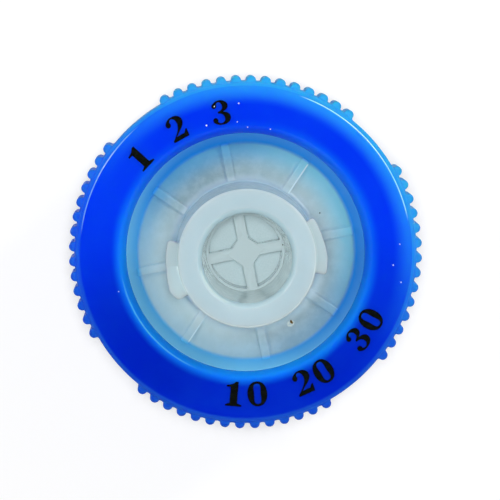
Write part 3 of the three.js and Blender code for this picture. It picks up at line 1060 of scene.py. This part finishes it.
# Painted highlight: a thin pale line along the shoulder's edge, long on one side of the ring and
# short on another.
highlight_sides = larger(side(direction, LONG_RIDGE_SIDE), side(direction, SHORT_RIDGE_SIDE))
shoulder_highlight = times(band(radius, RIDGE_RADII, RIDGE_SOFT), highlight_sides)
# Painted glow: the lip is paler towards its edge, a little all round for its thin plastic and
# mostly where it faces the lamps.
lip_sides = larger(side(direction, LIP_GLOW_SIDE), side(direction, LIT_LIP_SIDE))
lip = times(ranged(radius, LIP_RADII), lip_sides)
# Painted highlight: a thin pale line on the lip's edge on one side.
lip_highlight = times(band(radius, LIP_LINE_RADII, LIP_LINE_SOFT), side(direction, LIP_LINE_SIDE))

# %% Blue polish and scattering
POLISH_PATCHES = 2.5
BLUE_POLISH = (0.1, 0.15)
SATIN_RADII = (8.22 * MM, 8.32 * MM)
SATIN_MORE = (0, 0.45)
WAVES = 4
WAVE_DETAIL = 2
WAVE_DEPTH = 0.001 * MM
satin = ranged(radius, SATIN_RADII, SATIN_MORE)
put({
    "Base Color": layered(
        deep, (edge, EDGE_GLOW_AND_FLOW_BLUE), (shoulder_highlight, SHOULDER_HIGHLIGHT_BLUE), (lip, LIP_GLOW_BLUE),
        (lip_highlight, LIP_HIGHLIGHT_BLUE),
    ),
    "Roughness": plus(mottled(place, POLISH_PATCHES, BLUE_POLISH), satin),
    "Normal": relief(grain(place, WAVES, WAVE_DETAIL), WAVE_DEPTH),
    "Subsurface Weight": 1.0,
    "Subsurface Radius": (0.3, 0.6, 1.0),
    "Subsurface Scale": 0.6 * MM,
    "IOR": 1.49,
    "Specular IOR Level": 0.25,
}, surface)
finish_piece(grip_ring, blue)
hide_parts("grip_ring")
print("blue plastic: deep blue, paler at the bumps and the lip")

# %% [markdown]
# ## Natural plastic
#
# Undyed polypropylene is milky: light goes in, wanders and comes out softened. Part of it is
# sent straight through as rough transmission, and the rest scatters under the surface, so
# ribs and walls behind show as soft shapes. Slow clouds in the colour stand for the flow
# marks of moulding. Inside the deep socket light would wander off and leave the walls dull,
# so there the plastic is made dense, its colour is painted pale as painted light that stands
# in for the light the deep socket lacks, and it is polished as a luer socket is. The hub's
# wall and the lugs are painted paler too, as painted light that evens out their shade.

# %% Milk of the body and the socket
MILK = (0.56, 0.715, 0.78)
CLEARER_MILK = (0.59, 0.745, 0.81)
# The mouth, the socket's walls and the plate are painted paler than the body: painted light that
# stands in for the light the deep socket does not get.
MOUTH_PAINTED_LIGHT_MILK = (0.60, 0.80, 0.88)
BORE_PAINTED_LIGHT_MILK = (0.88, 1.0, 1.0)
PLATE_PAINTED_LIGHT_MILK = (0.72, 0.86, 0.89)
CLOUDS = 0.5
CLOUD_DETAIL = 4
BORE_RADII = (SOCKET_MOUTH + 0.27 * MM, SOCKET_MOUTH + 0.2 * MM)
DEEP_HEIGHTS = (HUB_TOP - 0.2 * MM, HUB_TOP - 0.6 * MM)
PLATE_HEIGHTS = (SOCKET_FOOT + 0.1 * MM, SOCKET_FOOT + 0.03 * MM)
natural, surface, place = material("natural_plastic")
radius, height, direction = round_place(place)
clouds = mottled(place, CLOUDS, detail=CLOUD_DETAIL)
above_disc = ranged(height, (CLAMP_FACE, CHAMBER_CEILING))
bore = times(ranged(radius, BORE_RADII), above_disc)
deeper = ranged(height, DEEP_HEIGHTS)
plate = times(bore, ranged(height, PLATE_HEIGHTS))
milk = layered(
    blended(clouds, MILK, CLEARER_MILK), (bore, blended(deeper, MOUTH_PAINTED_LIGHT_MILK, BORE_PAINTED_LIGHT_MILK)),
    (plate, PLATE_PAINTED_LIGHT_MILK),
)

# %% Milk of the hub's side and the lugs
# The hub's wall and the lugs are painted paler than the hub's top: painted light that evens out the
# shade on their steep faces.
SIDE_PAINTED_LIGHT_MILK = (0.63, 0.81, 0.86)
HUB_WALL_PAINTED_LIGHT_MILK = (0.70, 0.90, 0.92)
SIDE_RADII = (HUB_RADIUS - 0.02 * MM, HUB_RADIUS + 0.02 * MM)
SIDE_HEIGHTS = (INLET_FLOOR + 0.05 * MM, INLET_FLOOR + 0.2 * MM)
WALL_RADII = (HUB_RADIUS + 0.05 * MM, HUB_RADIUS + 0.015 * MM)
# With its draft taken away the wall has one radius all the way down, and the lugs stand out.
draft = times(minus(HUB_TOP, height), HUB_DRAFT)
on_wall = ranged(minus(radius, draft), WALL_RADII)
hub_side = times(ranged(radius, SIDE_RADII), ranged(height, SIDE_HEIGHTS))
milk = layered(milk, (hub_side, blended(on_wall, SIDE_PAINTED_LIGHT_MILK, HUB_WALL_PAINTED_LIGHT_MILK)))

# %% [markdown]
# ## The dish
#
# The ring's blue is painted in: on the floor as blue light that the ring sends into it, little
# of it, and on the sloping rim wall as the ring seen through the clear plastic, whose other
# side lies against the ring. How much blue, and how pale, changes round the dish as painted
# light and shade, and a pale line at the top of the wall is a painted highlight. The floor is
# painted darker than the hub as shade in the dish, darker still on one side and lighter on the
# lit sides, paler round the hub's foot where painted light lifts the hub's shadow, and carries
# faint pale streaks from the moulding.

# %% Dish floor
FLOOR_MILK = (0.40, 0.52, 0.55)
LIT_FLOOR_MILK = (0.60, 0.76, 0.77)
DIM_FLOOR_MILK = (0.31, 0.44, 0.48)
STREAK_AND_PAINTED_LIGHT_MILK = (0.74, 0.94, 0.99)
FLOOR_RADII = (3.45 * MM, 3.9 * MM)
FLOOR_HEIGHTS = (UPPER_RIM, UPPER_RIM - 0.2 * MM)
DIM_SIDE = (108, (0.1, 0.8), (0, 1))
LIT_SIDE = (204, (0.1, 1), (0, 1))
SECOND_LIT_SIDE = (30, (0.2, 1), (0, 0.4))
HUB_FOOT_RADII = (4.3 * MM, 3.75 * MM)
HUB_FOOT_LIGHT_SIDE = (262, (-0.4, 0.6), (0, 0.7))
STREAKS = 2
STREAK_DETAIL = 5
STREAK_ROUGHNESS = 0.65
STREAK_SPAN = (0.35, 0.7)
STREAK_SHARE = (0, 0.2)
fine_noise = grain(place, STREAKS, STREAK_DETAIL, STREAK_ROUGHNESS)
# Painted light and shade on the floor: darker than the hub as shade in the dish, darker still on
# one side, lighter on two lit sides, and paler round one side of the hub's foot, where the hub's
# shadow falls. The fine pale streaks are the moulding's own.
floor_milk = layered(
    FLOOR_MILK, (side(direction, DIM_SIDE), DIM_FLOOR_MILK),
    (larger(side(direction, LIT_SIDE), side(direction, SECOND_LIT_SIDE)), LIT_FLOOR_MILK),
    (ranged(fine_noise, STREAK_SPAN, STREAK_SHARE), STREAK_AND_PAINTED_LIGHT_MILK),
    (times(ranged(radius, HUB_FOOT_RADII), side(direction, HUB_FOOT_LIGHT_SIDE)), STREAK_AND_PAINTED_LIGHT_MILK),
)
dish_floor = times(ranged(radius, FLOOR_RADII), ranged(height, FLOOR_HEIGHTS))

# %% Blue in the dish
BLUISH_MILK = (0.11, 0.43, 0.70)
GREENISH_MILK = (0.27, 0.70, 0.84)
BLUISH_RADII = (3.9 * MM, 5.3 * MM)
BLUISH_SIDE = (60, (-0.8, 0.6), (0.3, 0.9))
GREENISH_SIDE = (19, (0.4, 1), (0, 1))
WALL_BLUE = (0.006, 0.30, 1.0)
LIT_WALL_BLUE = (0.13, 0.58, 1.0)
LIT_WALL_SIDE = (221, (-0.5, 1.1), (0, 1))
RIM_HIGHLIGHT_BLUE = (0.3, 0.8, 1.0)
RIM_RADII = (5.45 * MM, 5.85 * MM)
RIM_SIDE = (221, (-0.9, 0.9), (0.08, 0.45))
WALL_FOOT_RADII = (5.2 * MM, 5.42 * MM)
WALL_SHADE_SHIFT_SIDE = (19, (-1, 1), (0.05 * MM, -0.05 * MM))
# Painted light: blue light from the ring tints the floor towards the wall, more on some sides than
# on others, and greener on one side.
bluish = times(ranged(radius, BLUISH_RADII), side(direction, BLUISH_SIDE))
tint = blended(side(direction, GREENISH_SIDE), BLUISH_MILK, GREENISH_MILK)
# A pale line along the top of the rim wall, stronger on one side, is a painted highlight.
rim_highlight = times(ranged(radius, RIM_RADII, kind="LINEAR"), side(direction, RIM_SIDE))
# The sloping wall is painted with the ring's blue seen through the clear plastic, and painted paler
# on one side as painted light.
wall_blue = layered(
    WALL_BLUE, (side(direction, LIT_WALL_SIDE), LIT_WALL_BLUE), (rim_highlight, RIM_HIGHLIGHT_BLUE),
)
# The wall's painted boundary moves a little in and out round the dish, as painted shade.
wall = ranged(plus(radius, side(direction, WALL_SHADE_SHIFT_SIDE)), WALL_FOOT_RADII)
milk = layered(milk, (dish_floor, floor_milk), (bluish, tint), (wall, wall_blue))

# %% [markdown]
# ## Painted highlights on edges
#
# Thin pale lines are painted on three edges as painted highlights: the hub's top edge and
# the chamfer of the mouth, each mostly on one side, and one side of two dish ribs.

# %% Painted edge highlights
HUB_EDGE_RADII = (3.25 * MM, 3.33 * MM)
HUB_EDGE_HEIGHTS = (HUB_TOP - 0.15 * MM, HUB_TOP - 0.1 * MM)
HUB_EDGE_SIDE = (275, (-0.5, 0.8), (0.1, 0.9))
MOUTH_EDGE_RADII = (2.26 * MM, 2.32 * MM)
MOUTH_EDGE_SIDE = (208, (0.85, 0.95), (0, 0.9))
EDGE_SOFT = 0.03 * MM
HIGHLIGHT_RIB_AZIMUTH = 315
RIB_EDGE_SPAN = (RIB / 2 - 0.06 * MM, RIB / 2)
RIB_EDGE_SOFT = 0.02 * MM
RIB_RADII = (3.6 * MM, 5.2 * MM)
RIB_END_SOFT = 0.1 * MM
RIB_HEIGHTS = (INLET_FLOOR + 0.04 * MM, UPPER_RIM)
hub_highlight = times(ranged(height, HUB_EDGE_HEIGHTS), side(direction, HUB_EDGE_SIDE))
hub_highlight = times(band(radius, HUB_EDGE_RADII, EDGE_SOFT), hub_highlight)
mouth_highlight = band(radius, MOUTH_EDGE_RADII, EDGE_SOFT)
mouth_highlight = times(mouth_highlight, side(direction, MOUTH_EDGE_SIDE))
rib_highlight = band(along(place, HIGHLIGHT_RIB_AZIMUTH), RIB_EDGE_SPAN, RIB_EDGE_SOFT)
rib_highlight = times(rib_highlight, band(radius, RIB_RADII, RIB_END_SOFT))
rib_highlight = times(rib_highlight, band(height, RIB_HEIGHTS, RIB_EDGE_SOFT))
# All three lines are painted highlights, laid over the milk in one pale colour.
edges = larger(rib_highlight, larger(hub_highlight, mouth_highlight))

# %% Natural polish and scattering
DENSE_RADII = (5.3 * MM, 5.45 * MM)
NATURAL_PATCHES = 3
NATURAL_POLISH = (0.15, 0.21)
SOCKET_POLISH = 0.07
SOCKET_CALM = 0.9
in_socket = times(deeper, bore)
dense = larger(ranged(radius, DENSE_RADII), in_socket)
gloss = mottled(place, NATURAL_PATCHES, NATURAL_POLISH)
waviness = minus(1.0, times(in_socket, SOCKET_CALM))
put({
    "Base Color": layered(milk, (edges, STREAK_AND_PAINTED_LIGHT_MILK)),
    "Roughness": minus(gloss, times(in_socket, SOCKET_POLISH)),
    "Normal": relief(times(grain(place, WAVES, WAVE_DETAIL), waviness), WAVE_DEPTH),
    "Subsurface Weight": minus(1.0, dense),
    "Subsurface Radius": (1.0, 1.0, 1.0),
    "Subsurface Scale": 0.8 * MM,
    "Transmission Weight": 0.15,
    "IOR": 1.49,
}, surface)
finish_piece(inlet_housing, natural)
finish_piece(outlet_housing, natural)
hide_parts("inlet_housing")
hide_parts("outlet_housing")
print("natural plastic: milky, partly see-through, blue where the ring backs it")

# %% [markdown]
# ## Membrane, ink and dust
#
# The membrane is matt white paper-like plastic full of pores finer than the eye can see;
# a fine mottle and a rough surface stand for them. The ink is a thin glossy black film. The
# dust and the crumbs are dry and rough. All of these vary a little from patch to patch.

# %% Membrane
PORES = 25
PORE_DETAIL = 2
PORE_DEPTH = 0.004 * MM
SHEET_SHADES = ((0.62, 0.78, 0.81), (0.67, 0.82, 0.85))


def speckled(name, shades, patches, roughness=0.85, detail=3, span=(0.35, 0.65)):
    """A finish between two near shades; patches are counted to the millimetre."""
    finish, surface, place = material(name)
    specks = mottled(place, patches, detail=detail, span=span)
    put({
        "Base Color": blended(specks, *shades),
        "Roughness": roughness,
        "Specular IOR Level": 0.2,
    }, surface)
    return finish, surface, place


porous, surface, place = speckled(
    "porous_membrane", SHEET_SHADES, patches=12, roughness=0.9, detail=4, span=GRAIN_SPAN,
)
put({"Normal": relief(grain(place, PORES, PORE_DETAIL), PORE_DEPTH)}, surface)
finish_piece(membrane, porous)
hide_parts("membrane")
print("membrane: matt white, finely mottled")

# %% Ink
INK_SHADES = ((0.003, 0.004, 0.003), (0.006, 0.008, 0.006))
INK_SPAN = (0.3, 0.75)
ink = speckled("black_ink", INK_SHADES, patches=5, roughness=0.25, detail=4, span=INK_SPAN)[0]
for print_piece in (ones_print, tens_print):
    finish_piece(print_piece, ink)
print("ink on", ones_print.name, "and", tens_print.name)

# %% Dust finishes
DUST_SHADES = ((0.7, 0.78, 0.86), (0.85, 0.9, 0.95))
STAIN_SHADES = ((0.42, 0.54, 0.56), (0.6, 0.68, 0.62))
BROWN_SHADES = ((0.05, 0.025, 0.006), (0.3, 0.2, 0.07))
DARK_SHADES = ((0.02, 0.03, 0.03), (0.06, 0.06, 0.05))
finish_piece(dust_flakes, speckled("white_dust", DUST_SHADES, patches=20)[0])
finish_piece(dry_stain, speckled("dry_stain", STAIN_SHADES, patches=8)[0])
finish_piece(brown_crumb, speckled("brown_grit", BROWN_SHADES, patches=12)[0])
finish_piece(dark_crumbs, speckled("dark_grit", DARK_SHADES, patches=20)[0])
print("dust: white flakes, brown and dark grit")

# %% [markdown]
# ## Colour management
#
# The plain Standard view shows colours as they are written.

# %% Colour management
scene.view_settings.view_transform = "Standard"
bpy.context.view_layer.update()
